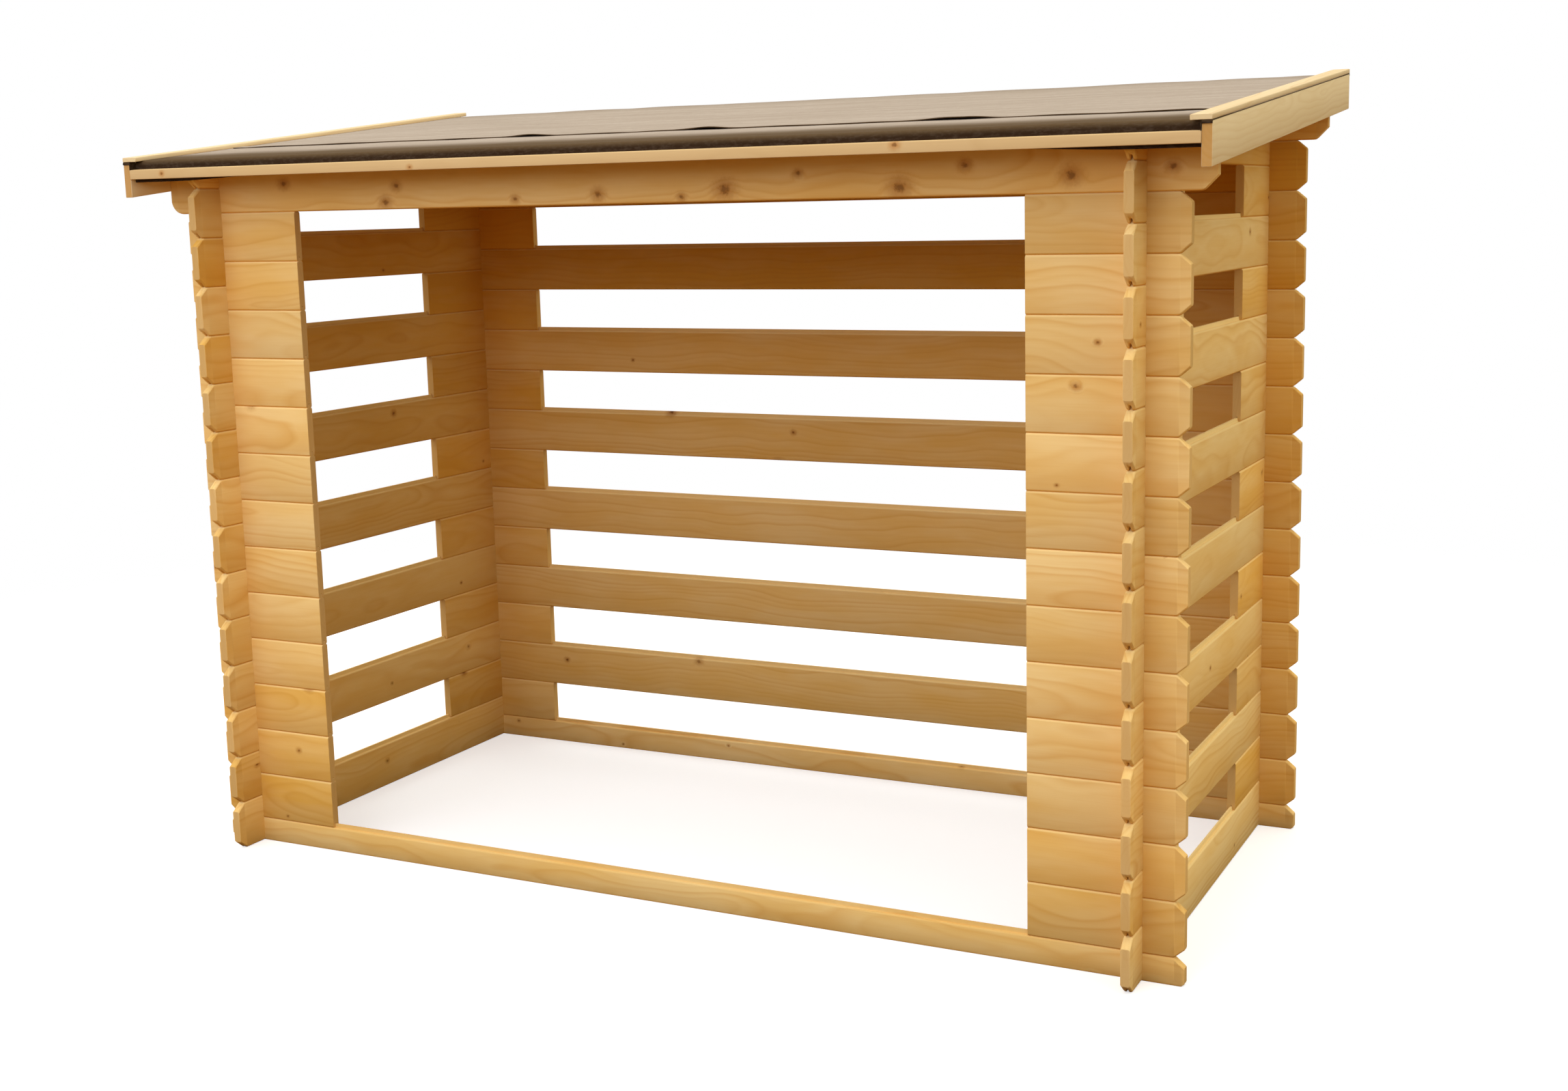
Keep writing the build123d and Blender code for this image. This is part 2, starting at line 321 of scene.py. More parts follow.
# %% A material and its one method for nodes
class Finish:
    """A material, or a world, while it is written."""

    def __init__(self, name, kind="materials"):
        self.material = getattr(bpy.data, kind).new(name)
        self.material.use_nodes = True
        self.tree = self.material.node_tree
        self.shader = next(n for n in self.tree.nodes if "OUTPUT" not in n.type)
        self.result = next(n for n in self.tree.nodes if "OUTPUT" in n.type)

    def show(self, shader):
        """Makes a shader the result."""
        self.feed(self.result.inputs["Surface"], shader)

    def add(self, kind, settings=None, values=None, output=None):
        """Adds a node: its settings first, then the values or links of its sockets, by name or in order."""
        node = self.tree.nodes.new(kind)
        for name, setting in (settings or {}).items():
            setattr(node, name, setting)
        enabled = [s for s in node.inputs if s.enabled]
        named = values.items() if isinstance(values, dict) else enumerate(values or [])
        for name, value in named:
            target = enabled[name] if isinstance(name, int) else next(s for s in enabled if s.name == name)
            self.feed(target, value)
        outputs = [s for s in node.outputs if s.enabled]
        return Value(self, next(s for s in outputs if s.name == output) if output else outputs[0])

    def feed(self, target, value):
        """Links a value to a socket, or sets the socket to it."""
        if isinstance(value, Value):
            self.tree.links.new(value.socket, target)
        elif target.type == "RGBA":
            target.default_value = (*value, 1.0)
        else:
            target.default_value = value

    def set(self, **values):
        """Feeds the shader's own sockets, with _ for a space in their names."""
        for name, value in values.items():
            self.feed(self.shader.inputs[name.replace("_", " ")], value)

    def attribute(self, name, output="Vector"):
        return self.add("ShaderNodeAttribute", {"attribute_name": name}, output=output)

    def vector(self, operation, *values, output=None):
        return self.add("ShaderNodeVectorMath", {"operation": operation}, list(values), output)

    def split(self, vector):
        """The three parts of a vector."""
        parts = self.add("ShaderNodeSeparateXYZ", {}, [vector])
        return parts, parts.output("Y"), parts.output("Z")

    def join(self, *parts):
        return self.add("ShaderNodeCombineXYZ", {}, list(parts))

    def mix(self, share, first, second):
        """A colour between two, by a share from 0 to 1."""
        settings = {"data_type": "RGBA", "clamp_factor": True}
        return self.add("ShaderNodeMix", settings, {"Factor": share, "A": first, "B": second})

    def noise(self, place, scale=1.0, detail=2.0, roughness=0.5, output="Fac"):
        values = {"Vector": place, "Scale": scale, "Detail": detail, "Roughness": roughness}
        return self.add("ShaderNodeTexNoise", {}, values, output)

    def streaks(self, place, scales, detail, roughness=0.5, output="Fac"):
        """Noise with its own scale along each axis."""
        return self.noise(self.vector("MULTIPLY", place, scales), 1.0, detail, roughness, output)

    def ramp(self, value, low, high, start=0.0, end=1.0):
        """A value taken smoothly from one range to another."""
        settings = {"interpolation_type": "SMOOTHSTEP"}
        return self.add("ShaderNodeMapRange", settings, [value, low, high, start, end])

    def bump(self, height, distance, strength=1.0):
        values = {"Height": height, "Distance": distance, "Strength": strength}
        return self.add("ShaderNodeBump", {}, values)


# %% [markdown]
# ## Planed spruce
#
# Spruce is pale, with a ring of darker late wood for every year. A plank shows those rings cut lengthwise:
# straight lines where it was sawn across them and tall arches where it was sawn along them. Rather than
# draw arches, the material keeps the tree: a point's distance from the log's heart, bent a little along its
# length, says which year it grew in, and the arches come by themselves. Knots are branches that run through
# the board, so they are points of a cell pattern on its broad face, and the rings swerve round them.

# %% The spruce material
ring_width = 0.0068
cells_along, cells_up = 3.1, 9.0  # cells in a metre of log, each with room for one scattered knot
smallest_knot, knot_spread = 0.0017, 0.0036
slow_bend, quick_bend = (0.07, 0.05), (0.018, 0.014)  # metres, through the log and up it
# At a joint a log's foot corner gets painted shade and its top corner a painted highlight: their bands and
# colours
painted_shade_band, painted_highlight_band = (0.0042, 0.0012), (0.0050, 0.0020)  # metres from the foot, and from the top
painted_joint_shade, painted_joint_highlight = (0.72, 0.36, 0.06), (0.95, 0.70, 0.31)
knot_ring, knot_rim, knot_core = (0.50, 0.215, 0.05), (0.11, 0.028, 0.002), (0.27, 0.09, 0.01)


def spruce(name, early, late, sawn, knot_share=0.34, painted_joints=False, knots=()):
    """Planed spruce. Year = distance from the heart / width of a ring, and late wood darkens each year's end.

    Early is a pair of colours between which logs vary, and sawn is the colour of the ends. For a log that
    sits in joints, its foot corner gets painted shade and its top corner a painted highlight. Knots are
    (along, up, size) in metres, besides the scattered ones.
    """
    wood = Finish(name)
    grain = wood.attribute("grain")
    along, through, up = wood.split(grain)
    heart_through, heart_up, tone = wood.split(wood.attribute("heart"))

    # Scattered knots: cells on the broad face, some of them empty
    cells = wood.join(along * cells_along, up * cells_up, tone * 50)
    cell = wood.add(
        "ShaderNodeTexVoronoi", {"voronoi_dimensions": "3D"}, {"Vector": cells, "Scale": 1.0}, "Position"
    )
    cell_along, cell_up = wood.split(cell)[:2]
    chance_of, size_of, look_of = wood.split(cell.output("Color"))
    aside = (cell_along / cells_along - along) * 0.8
    above = cell_up / cells_up - up
    distance = wood.vector("LENGTH", wood.join(aside, above, 0.0), output="Value")
    size = smallest_knot + size_of * size_of * knot_spread
    near = distance / size + chance_of.math("GREATER_THAN", knot_share) * 99.0
    depth = 0.62 if knots else 0.45 + look_of * 0.35
    for knot_along, knot_up, knot_size in knots:
        aside = wood.join((along - knot_along) * 0.8, up - knot_up, 0.0)
        near = near.math("MINIMUM", wood.vector("LENGTH", aside, output="Value") / knot_size)
    ragged = wood.streaks(grain, (160.0, 40.0, 160.0), 2.0, 0.6)
    near = near + (ragged - 0.5) * 1.3
    knot = wood.ramp(near, 0.5, 1.3, 1.0, 0.0)
    halo = wood.ramp(near, 0.9, 4.5, 1.0, 0.0)

    # Years, bent along the log and round its knots
    slow = wood.streaks(grain, (1.6, 5.0, 5.0), 1.0, 0.4, "Color")
    quick = wood.streaks(grain, (7.0, 12.0, 12.0), 0.0, 0.5, "Color")
    slow_through, slow_up = wood.split(slow)[:2]
    quick_through, quick_up = wood.split(quick)[:2]
    from_heart = wood.join(
        0.0,
        through - heart_through + (slow_through - 0.5) * slow_bend[0] + (quick_through - 0.5) * quick_bend[0],
        (up - heart_up) * 0.6 + (slow_up - 0.5) * slow_bend[1] + (quick_up - 0.5) * quick_bend[1],
    )
    radius = wood.vector("LENGTH", from_heart, output="Value") + halo * 0.006
    wobble = wood.streaks(grain, (10.0, 40.0, 40.0), 1.0)
    years = radius / ring_width + wobble * 0.3
    part = years.math("FRACT")
    late_wood = (part * part).math("MINIMUM", (1.0 - part) * 2.2)
    year_tone = wood.noise(wood.join(years.math("FLOOR"), tone * 30, 0.0), 0.9, 0.0)
    late_wood = late_wood * wood.ramp(year_tone, 0.35, 0.7, 0.15, 1.0)

    # Fibres, slow changes of colour along the board, and painted shade and highlight at a joint's corners
    fibres = wood.streaks(grain, (7.0, 420.0, 420.0), 3.0, 0.6)
    patches = wood.streaks(grain, (3.5, 16.0, 16.0), 3.0, 0.55)
    # The log's tone, which carries its painted shade as well, leads the colour between the two early woods
    colour = wood.mix(wood.ramp(patches, 0.3, 0.7) * 0.35 + tone * 0.65, early[0], early[1])
    colour = wood.mix(late_wood * 0.8, colour, late)
    colour = wood.mix(wood.ramp(fibres, 0.45, 0.75) * 0.10, colour, late)
    if painted_joints:
        colour = wood.mix(wood.ramp(up, *painted_shade_band) * 0.75, colour, painted_joint_shade)
        under_top = [course - distance_down for distance_down in painted_highlight_band]
        colour = wood.mix(wood.ramp(up, *under_top) * 0.65, colour, painted_joint_highlight)
    cut = wood.attribute("cut", "Fac")
    colour = wood.mix(cut * 0.75, colour, sawn)
    colour = wood.mix(halo * halo * depth, colour, knot_ring)
    heartwood = wood.mix(wood.ramp(near + (ragged - 0.5) * 0.8, 0.3, 0.8), knot_rim, knot_core)
    colour = wood.mix(knot * depth, colour, heartwood)
    brightness = 0.93 + tone.math("MULTIPLY", 7.31).math("FRACT") * 0.14
    colour = wood.vector("SCALE", colour, brightness)

    height = fibres * 0.4 - late_wood * 0.15 - knot * 0.6
    wood.set(
        Base_Color=colour,
        Roughness=0.62 + fibres * 0.12 + cut * 0.25 - knot * 0.1,
        Normal=wood.bump(height, 0.0003, 0.4),
        Specular_IOR_Level=0.06,
    )
    return wood.material


# %% Five finishes of spruce
log_early, log_late = ((0.90, 0.66, 0.305), (0.80, 0.435, 0.072)), (0.70, 0.335, 0.055)
log_sawn = (0.67, 0.42, 0.165)
log_spruce = spruce("log_spruce", log_early, log_late, log_sawn, 0.28, True)
trim_colours = ((0.88, 0.71, 0.46), (0.82, 0.63, 0.36)), (0.68, 0.43, 0.17), (0.52, 0.23, 0.02)
trim_spruce = spruce("trim_spruce", *trim_colours, 0.2)
strip_colours = ((0.80, 0.62, 0.38), (0.73, 0.54, 0.30)), (0.62, 0.38, 0.16), (0.82, 0.64, 0.36)
strip_spruce = spruce("strip_spruce", *strip_colours, 0.2)
batten_colours = ((0.675, 0.47, 0.235), (0.63, 0.415, 0.19)), (0.50, 0.29, 0.11), (0.5, 0.3, 0.1)
batten_knots = ((-1.071, 0.011, 0.003), (0.623, 0.015, 0.004), (-0.42, 0.006, 0.0025))
batten_spruce = spruce("batten_spruce", *batten_colours, 0.0, False, batten_knots)
deck_colours = ((0.72, 0.48, 0.20), (0.66, 0.40, 0.14)), (0.46, 0.22, 0.05), (0.6, 0.4, 0.2)
deck_spruce = spruce("deck_board_spruce", *deck_colours)
print("spruce uses", len(log_spruce.node_tree.nodes), "nodes")

# %% [markdown]
# ## The logs
#
# A log is a plank on edge with a tongue along its top and a groove along its foot. It is notched by a
# quarter of its height, top and bottom, wherever a crossing log passes, and its free ends are cut to a
# point-like scallop. All of that is two levels along the bar, so every log of the store comes from one
# function.

# %% The section and the levels of a log
tongue_width = 0.006
tongue_draft = 0.001
groove_depth = 0.009
joint_corner = 0.0032  # the soft corner on both sides of a joint
plain_corner = 0.0012
scallop_run = 0.020
scallop_rise = 0.017
shoulder = 0.08  # softness of the end of a slope, as a share of its run
sill_corner = 0.005
quarter = course / 4


def log_section(grooved):
    """The plank's section with a groove in the foot and a tongue on the top."""
    plain = plank_section(log_thickness, joint_corner if grooved else plain_corner, joint_corner)
    tongue = tongue_width / 2
    foot = np.array([[0, tongue - tongue_draft, tongue], [0] * 3, [0] * 3, [1, 1, 0], [0] * 3])
    top = np.array([[tongue, tongue - tongue_draft, 0], [1] * 3, [0] * 3, [0] * 3, [0, 1, 1]])
    if not grooved:
        foot[3] = 0
    return np.concatenate((foot, plain[:, 1:-1], top), axis=1)


def slope_off(distance, run, rise):
    """How far a chamfered end lies below its level: a straight slope with a softened shoulder.

    Depth = rise x (share + root of (share squared + shoulder squared)) / 2, with share the run still to go.
    """
    share = 1 - distance / run
    return rise * (share + np.hypot(share, shoulder)) / 2


def log_points(start, end, crossings, scallops, height, grooved, kinks=()):
    """A log's bar: its levels follow the scallops at its ends and drop to the notches."""
    slopes = scallop_run * np.array([0.3, 0.6, 0.8, 0.9, 1, 1.1, 1.25, 1.5])
    inward = [end_place + slopes * (1 if end_place == start else -1) for end_place in scallops]
    half_notch, wall = log_thickness / 2, 0.0001
    notch = np.array([-half_notch - wall, -half_notch, half_notch, half_notch + wall])
    edges = [centre + notch for centre in crossings]
    stations = with_ends(start, end, *inward, *edges, spread(start, end, 7), kinks)
    foot, top = np.zeros(stations.size), np.full(stations.size, height)
    tongue = np.full(stations.size, tongue_height)
    foot_rise = scallop_rise if grooved else sill_corner
    for end_place in scallops:
        distance = np.abs(stations - end_place)
        top -= slope_off(distance, scallop_run, scallop_rise)
        foot += slope_off(distance, scallop_run * foot_rise / scallop_rise, foot_rise)
        cut_tongue = (distance / scallop_run - 1) * scallop_rise
        tongue = np.minimum(tongue, np.clip(cut_tongue, 0, None))
    for centre in crossings:
        inside = np.abs(stations - centre) < half_notch + wall / 2
        top[inside] = height - quarter
        tongue[inside] = 0
        if grooved:
            foot[inside] = quarter
    groove = np.clip(groove_depth - foot, 0, None) if grooved else 0.0
    return bar(log_section(grooved), stations, foot, top, groove, tongue)


# %% [markdown]
# ## The walls
#
# A wall of the real store is logs laid one on another, and short logs between two long ones keep a gap
# open. Each could be placed by hand, but the imported boxes already say where every log starts and ends and
# how many courses a node is high. So one function reads a node's box and lays its logs. Each gets its own
# tone, as no two trees match, and the tone also carries painted shade: the front darkens above and below
# its middle, and the back and left walls towards the roof.

# %% Laying logs into the walls
def lay_along_x(wall_y, bottom):
    """Places a bar in a wall that runs along X."""
    return lambda p: np.stack((p[:, 0], wall_y + p[:, 1], bottom + p[:, 2]), axis=-1)


def lay_along_y(wall_x, bottom):
    """Places a bar in a wall that runs along Y: a quarter turn about Z."""
    return lambda p: np.stack((wall_x - p[:, 1], p[:, 0], bottom + p[:, 2]), axis=-1)


def under_roof(place):
    """The same place, cut off at the underside of the roof's boards."""
    def cut_place(points):
        placed = place(points)
        placed[:, 2] = np.minimum(placed[:, 2], deck_height(placed[:, 1]))
        return placed
    return cut_place


palest_height, roof_height = 0.8, 1.35  # metres above the ground
straight_grain = 0.22  # a heart this much higher up is far from the board, so its years run straight


def tone_with_painted_shade(node, bottom, share):
    """A log's tone, from pale at 0 to orange at 1, spread by a random share, with painted shade in it.

    The right wall's slats and the sills are paler and the spacers on the right more orange. The front logs
    are palest at one height and grow more orange above and below it, painted shade towards the eave and the
    ground.
    The back and left walls grow more orange towards the roof, painted shade under it, most in the back left
    corner.
    """
    if "right_slat" in node:
        return 0.35 * share
    if "sill" in node:
        return 0.22 + 0.3 * share
    # Painted shade: the front logs grow more orange above and below the palest height
    from_palest = bottom / palest_height - 1
    if "front_left" in node:
        return 0.3 * share + 1.1 * from_palest**2
    if "front" in node:
        return 0.3 * share + 0.9 * from_palest**4
    if "right" in node:
        return 0.4 + 0.5 * share
    # Painted shade: more orange in the back left corner and towards the roof
    painted_corner_shade = 0.3 if node in ("back_left_spacers", "left_back_spacers") else 0.0
    painted_roof_shade = 0.6 if "left_slat" in node else 0.8
    return 0.3 + painted_corner_shade + 0.3 * share + painted_roof_shade * (bottom / roof_height) ** 3


def build_logs(node):
    """Makes the logs of one node, at the places that the node's box gives."""
    low_corner, high_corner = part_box(node)
    axis = X if high_corner[X] - low_corner[X] > high_corner[Y] - low_corner[Y] else Y
    across = Y if axis == X else X
    wall = (low_corner[across] + high_corner[across]) / 2
    start, end = low_corner[axis], high_corner[axis]
    walls_crossed = (-side_wall_x, side_wall_x) if axis == X else (-end_wall_y, end_wall_y)
    crossings = [w for w in walls_crossed if start < w < end]
    scallops = [p for p in (start, end) if min(abs(p - w) for w in walls_crossed) < 0.1]
    grooved = "sill" not in node
    height = course if grooved else course / 2
    rows = int((high_corner[Z] - low_corner[Z]) / (2 * course)) + 1
    stock = Stock()
    lay = lay_along_x if axis == X else lay_along_y
    for row in range(rows):
        bottom = low_corner[Z] + 2 * row * course
        heart = stock.random_heart()
        heart[2] = tone_with_painted_shade(node, bottom, heart[2])
        if "back_slat" in node:
            heart[1] += straight_grain
        stock.add(log_points(start, end, crossings, scallops, height, grooved), lay(wall, bottom), heart)
    return stock.piece(node + "_timber", log_spruce, "spruce_logs", node)


wall_words = "slat", "spacers", "sill", "front_left", "front_right"
wall_nodes = [node for node in sorted(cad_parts) if any(word in node for word in wall_words)]
walls = [build_logs(node) for node in wall_nodes]
print(len(walls), "wall pieces,", sum(len(w.data.polygons) for w in walls), "faces")

# %% [markdown]
# ## The logs under the roof
#
# Each gable is a full log and a wedge above it, both planed to the slope. The two logs that carry the roof
# reach out to the barge boards, with their lower corners cut off. They are the same bars, clipped at the
# roof's plane.

# %% Gables
for side, wall_x in (("left", -side_wall_x), ("right", side_wall_x)):
    gable_log, wedge = f"{side}_gable_log", f"{side}_gable_wedge"
    start, end = low(gable_log, Y), high(gable_log, Y)
    kink = roof_top_back[0] + (low(gable_log, Z) + course - roof_top_back[1]) / roof_slope
    for node, bar_start, crossings, scallops, kinks in (
        (gable_log, start, (-end_wall_y, end_wall_y), (start, end), [kink]),
        (wedge, kink + end_ease, (end_wall_y,), (end,), []),
    ):
        stock = Stock()
        points = log_points(bar_start, end, crossings, scallops, course, True, kinks)
        stock.add(points, under_roof(lay_along_y(wall_x, low(node, Z))))
        stock.piece(node + "_timber", log_spruce, "spruce_logs", node)
print("gables made")

# %% Header and purlin
bracket_corner = 0.026
bracket_round = 0.032  # the left ends are rounded rather than cut straight
roof_log_heart = np.array([-0.03, 0.06, 0.4])


def bracket_stations(start, end):
    """Stations close enough together for the cut corners at both ends."""
    steps = bracket_corner * np.linspace(0, 1.4, 15)[1:]
    return np.concatenate((start + steps, end - steps))


def roof_log_points(start, end, height):
    """A log that carries the roof: notched like the others, with a corner taken off below each end."""
    crossings = (-side_wall_x, side_wall_x)
    points = log_points(start, end, crossings, (), height, True, bracket_stations(start, end))
    from_right = end - points[..., 0]
    from_left = np.clip(points[..., 0] - start, 0, bracket_round)
    corner = slope_off(from_right, bracket_corner, bracket_corner)
    rounding = bracket_round - np.sqrt(bracket_round**2 - (bracket_round - from_left) ** 2)
    corner = np.maximum(corner, rounding)
    points[..., 2] = np.maximum(points[..., 2], corner)
    return points


header_knots = (
    (-0.843, 0.059, 0.006), (-0.575, 0.015, 0.006), (-0.546, 0.048, 0.005), (-0.253, 0.015, 0.004),
    (-0.058, 0.020, 0.006), (0.129, 0.011, 0.004), (0.223, 0.023, 0.009), (0.378, 0.049, 0.004),
    (0.582, 0.018, 0.009), (0.709, 0.055, 0.005), (0.905, 0.031, 0.008), (1.085, 0.042, 0.005),
)
header_spruce = spruce("header_spruce", log_early, log_late, log_sawn, 0.0, True, header_knots)
for node, look in (("header_log", header_spruce), ("back_purlin", log_spruce)):
    start, end = low(node, X), high(node, X)
    wall_y = (low(node, Y) + high(node, Y)) / 2
    stock = Stock()
    place = under_roof(lay_along_x(wall_y, low(node, Z)))
    stock.add(roof_log_points(start, end, course), place, roof_log_heart, 0.0)
    stock.piece(node + "_timber", look, "spruce_logs", node)
print("header and purlin made")

# %% [markdown]
# ## The roof's boards
#
# The deck is a row of matched boards that run up the slope, with a V between them on the underside. One
# slab with lines painted on it would look flat from below, so each board is a bar of its own, with bevelled
# lower edges and ends that are rounded where the felt folds over them. Its levels rise with the roof.

# %% The roof's boards
deck_low, deck_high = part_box("roof_deck")
deck_thickness = high("barge_boards", Z) - deck_height(high("barge_boards", Y))
board_count = 24
board_width = (deck_high[X] - deck_low[X]) / board_count
deck_nose = 0.009
plank_gap = 0.0004
joint_bevel, upper_edge = 0.0028, 0.0006


def up_the_slope(x):
    """Places a bar that runs up the roof: its heights are measured from the deck's underside."""
    return lambda p: np.stack((x - p[:, 1], p[:, 0], deck_height(p[:, 0]) + p[:, 2]), axis=-1)


nose_steps = deck_nose * (1 - np.cos(np.linspace(0, pi / 2, 7)))
stations = with_ends(deck_low[Y], deck_high[Y], deck_low[Y] + nose_steps, deck_high[Y] - nose_steps)
from_edge = np.clip(np.minimum(stations - deck_low[Y], deck_high[Y] - stations), 0, deck_nose)
rounding = deck_nose - np.sqrt(deck_nose**2 - (deck_nose - from_edge) ** 2)
section = plank_section(board_width - plank_gap, joint_bevel, upper_edge)
points = bar(section, stations, 0.0, deck_thickness - rounding)
points[..., 2] = np.maximum(points[..., 2], 0.0)
boards = Stock()
for number in range(board_count):
    boards.add(points, up_the_slope(deck_low[X] + (number + 0.5) * board_width))
boards.piece("roof_boards", deck_spruce, "deck_spruce", "roof_deck")
print(board_count, "roof boards", round(board_width * 1000, 1), "mm wide")

# %% [markdown]
# ## Barge boards, strips and battens
#
# A barge board closes each end of the roof, a batten holds the felt at the front and at the back, and a
# thin strip covers the felt's edge over each barge board. They are planed laths with hardly a bevel, so
# they too are bars, and what sets them apart is their paler wood.

# %% Barge boards, strips and battens
strip_low, strip_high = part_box("cover_strips")
strip_width = 0.037
strip_thickness = 0.009
felt_thickness = 0.002
barge_low, barge_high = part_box("barge_boards")
barge_thickness = barge_high[X] - deck_high[X]
barge_height = deck_thickness - low("barge_boards", Z) + deck_height(low("barge_boards", Y))
felt_top = deck_thickness + felt_thickness * plumb
strip_top = felt_top + strip_thickness * plumb


def lath(section, start, end, stops, foot, top):
    """A plain bar with a few stops between its ends."""
    return bar(section, with_ends(start, end, spread(start, end, stops)), foot, top)


section = plank_section(barge_thickness, 0.0012, 0.0008)
barge = lath(section, barge_low[Y], barge_high[Y], 5, deck_thickness - barge_height, deck_thickness)
section = plank_section(strip_width, 0.0008, 0.0015)
strip = lath(section, strip_low[Y], strip_high[Y], 5, felt_top, strip_top)
barges, strips = Stock(), Stock()
for side in (-1, 1):
    barges.add(barge, up_the_slope(side * (barge_high[X] - barge_thickness / 2)))
    strips.add(strip, up_the_slope(side * (strip_high[X] - strip_width / 2)))
barges.piece("barge_board_planks", trim_spruce, "pale_spruce_trim", "barge_boards")
strips.piece("cover_strip_laths", strip_spruce, "pale_spruce_trim", "cover_strips")

batten_low, batten_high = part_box("eave_battens")
batten_thickness = 0.016
batten_height = 0.020
batten_foot = batten_low[Z] - deck_height(batten_low[Y])
batten_top = batten_foot + batten_height
batten_heart = np.array([0.03, 0.02, 0.5])


def along_eave(y):
    """Places a bar along an eave, with its height measured from the deck's underside."""
    return lambda p: np.stack((p[:, 0], y + p[:, 1], deck_height(y + p[:, 1]) + p[:, 2]), axis=-1)


section = plank_section(batten_thickness, 0.0012, 0.0012)
batten = lath(section, batten_low[X], batten_high[X], 11, batten_foot, batten_top)
battens = Stock()
for y in (batten_low[Y] + batten_thickness / 2, batten_high[Y] - batten_thickness / 2):
    battens.add(batten, along_eave(y), batten_heart, 0.0)
battens.piece("eave_batten_laths", batten_spruce, "pale_spruce_trim", "eave_battens")
print("barge boards, strips and battens made")

# %% [markdown]
# ## Roofing felt
#
# The felt is bitumen with fine mineral granules. One grey would do for a flat roof, but near the eave it is
# bent and darkens: painted shade where it starts to bend, then the bare bitumen of the fold. So a value kept
# at each point, the fold, leads the colour from the granules' grey through the painted shade to dark bitumen,
# and noise of several sizes adds streaks, mottle, grit and flecks.

# %% The felt's material
def mineral_felt(name):
    """Grey-brown granules on dark bitumen. The fold attribute leads through painted shade to bare bitumen."""
    felt = Finish(name)
    place = felt.add("ShaderNodeTexCoord", output="Object")
    fold = felt.attribute("fold", "Fac")
    streaks = felt.streaks(place, (3.0, 26.0, 26.0), 4.0, 0.6)
    mottle = felt.noise(place, 55.0, 3.0, 0.6)
    grit = felt.noise(place, 900.0, 1.0, 0.5)
    colour = felt.mix(felt.ramp(streaks, 0.3, 0.7), (0.405, 0.32, 0.25), (0.475, 0.385, 0.31))
    colour = felt.mix(felt.ramp(mottle, 0.35, 0.7) * 0.3, colour, (0.35, 0.27, 0.21))
    colour = felt.mix(felt.ramp(grit, 0.5, 0.75) * 0.4, colour, (0.24, 0.19, 0.15))
    # Painted shade of the bend first, then the bare bitumen of the fold
    colour = felt.mix(felt.ramp(fold, 0.0, 0.48), colour, (0.115, 0.068, 0.029))
    colour = felt.mix(felt.ramp(fold, 0.4, 0.85), colour, (0.032, 0.016, 0.007))
    flecks = felt.streaks(place, (90.0, 220.0, 220.0), 2.0, 0.6)
    colour = felt.mix(felt.ramp(flecks, 0.4, 0.75) * fold * 0.1, colour, (0.30, 0.23, 0.17))
    felt.set(
        Base_Color=colour,
        Roughness=0.95,
        Normal=felt.bump(grit * 0.6 + mottle * 0.5, 0.0006, 0.6),
        Specular_IOR_Level=0.1,
    )
    return felt.material


roof_felt = mineral_felt("mineral_roofing_felt")

# %% [markdown]
# ## The form of laid felt
#
# The felt lies in two sheets: the lower one is folded over the eave and tucked behind the batten, and the
# upper one laps over it. Laid felt is never flat. A cloth simulation could crease it, but stiff felt only
# swells a little, so each sheet is a grid along its own fold line, raised by a sum of slow waves.

# %% Swells and folds
def swell(x, y, size, reach, seed):
    """A slow, uneven swell: the mean of twelve sine waves of random direction, length and phase."""
    waves = np.random.default_rng(seed)
    total = np.zeros(np.broadcast(x, y).shape)
    for wave in range(12):
        turn, phase = waves.uniform(0, pi), waves.uniform(0, 2 * pi)
        length = reach * waves.uniform(0.5, 1.6)
        total += np.sin(2 * pi * (x * np.cos(turn) + y * np.sin(turn)) / length + phase)
    return size * total / 12**0.5


def smooth_step(value):
    """From 0 to 1, level at both ends: 3 v squared - 2 v cubed."""
    share = np.clip(value, 0, 1)
    return share * share * (3 - 2 * share)


def fold_line(edge, foot, shown, radius, far, steps, gather=1.0, painted_bend_shade=0.5):
    """A sheet's way from its folded foot, up, round the nose and along the deck, as (y, height, fold).

    The edge is the outer face of the fold. Height is measured from the deck's underside. Fold is 0 on the
    roof and 1 at the height named shown, where the batten covers it. Over the last 0.21 m before the nose it
    also rises, up to a given share at the nose: painted shade for the sheet's bend. A gather above 1 sets the
    points closer towards the far end.
    """
    inward = np.sign(far - edge)
    turn = np.linspace(0, pi / 2, 9)
    upright = np.linspace(foot, felt_top - radius, 5)[:-1]
    y = np.concatenate((
        np.full(4, edge),
        edge + inward * radius * (1 - np.cos(turn)),
        far + (edge + inward * radius - far) * np.linspace(1, 0, steps)[1:] ** gather,
    ))
    height = np.concatenate((
        upright,
        felt_top - radius + radius * np.sin(turn),
        np.full(steps - 1, felt_top),
    ))
    down = np.clip((felt_top - height) / (felt_top - shown), 0, 1)
    # Painted shade of the bend: darker over the last 0.21 m of the roof before the nose
    bend_shade_mask = smooth_step(1 - (np.abs(y - edge) - radius) / 0.21)
    return y, height, painted_bend_shade * bend_shade_mask + (1 - painted_bend_shade) * down


